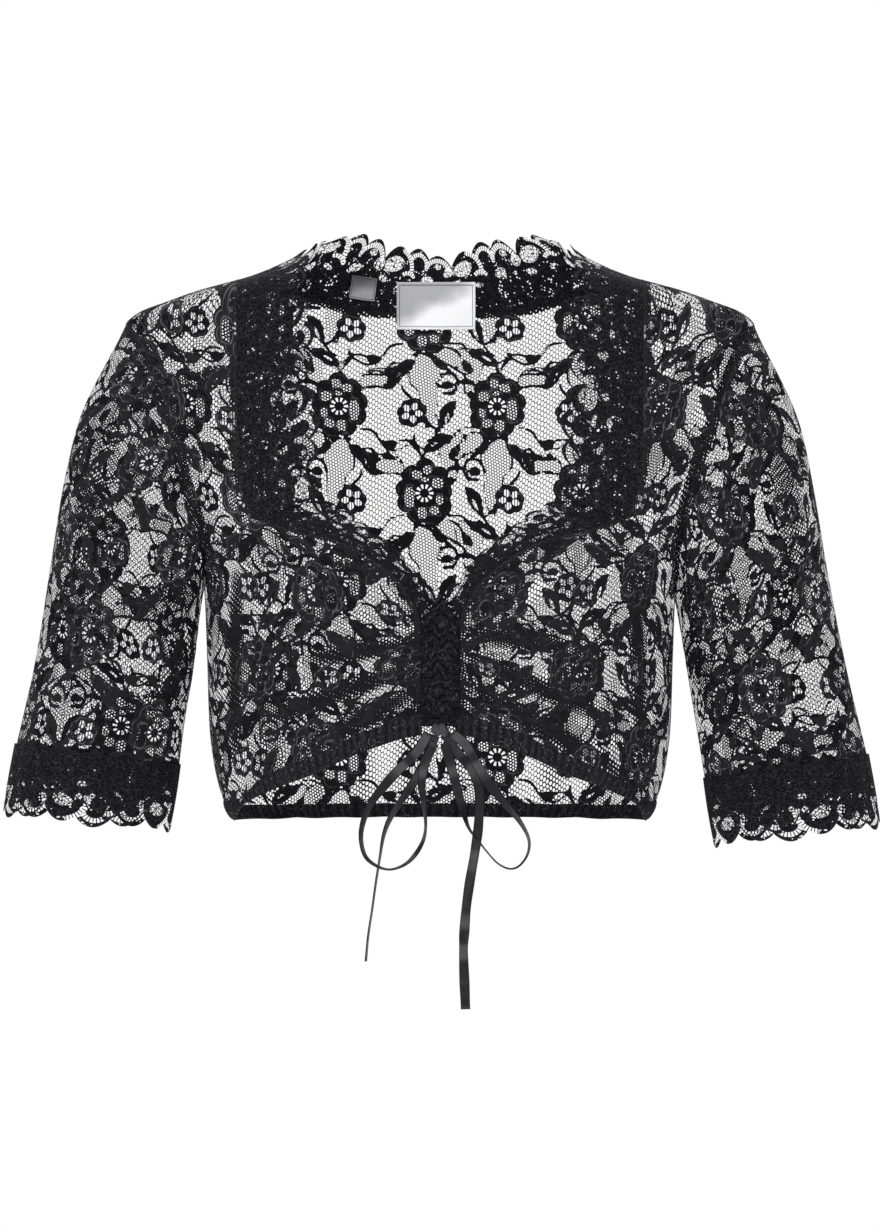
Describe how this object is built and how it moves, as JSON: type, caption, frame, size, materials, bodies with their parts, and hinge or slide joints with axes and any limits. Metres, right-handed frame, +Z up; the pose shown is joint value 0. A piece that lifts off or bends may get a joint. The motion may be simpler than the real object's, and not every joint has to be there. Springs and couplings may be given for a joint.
{
  "type": "dirndl blouse",
  "caption": "Black lace dirndl blouse, hollow as worn: sweetheart neckline with scalloped edging, short sleeves, gathered centre front and a ribbon bow.",
  "frame": {"origin": "middle of the neck hole, level with the shoulder seams, where the wearer's shoulders hold the blouse", "axes": "+Z up, the front faces -Y, +X to the viewer's right"},
  "size_m": [0.543, 0.2169, 0.4778],
  "materials": {
    "lace_net": "stretch lace, flowers and leaves on an open net",
    "lace_edging": "dense scalloped lace edging",
    "casing_cloth": "matt gathered casing and elastic",
    "ribbon_satin": "black satin with a grey sheen",
    "label_satin": "silvery woven satin, bare"
  },
  "bodies": {
    "root": {"back_panel": "lace_net", "front_left": "lace_net", "front_right": "lace_net", "sleeve_left": "lace_net", "sleeve_right": "lace_net", "cuff_left": "lace_edging", "cuff_right": "lace_edging", "neck_band_back": "lace_edging", "strap_band_left": "lace_edging", "strap_band_right": "lace_edging", "neckline_band_left": "lace_edging", "neckline_band_right": "lace_edging", "centre_casing": "casing_cloth", "front_hem_band_left": "casing_cloth", "front_hem_band_right": "casing_cloth", "back_hem_band": "casing_cloth", "ribbon_knot": "ribbon_satin", "ribbon_loop_left": "ribbon_satin", "ribbon_loop_right": "ribbon_satin", "ribbon_tail_left": "ribbon_satin", "ribbon_tail_right": "ribbon_satin", "label_main": "label_satin", "label_size": "label_satin"}
  },
  "joints": []
}
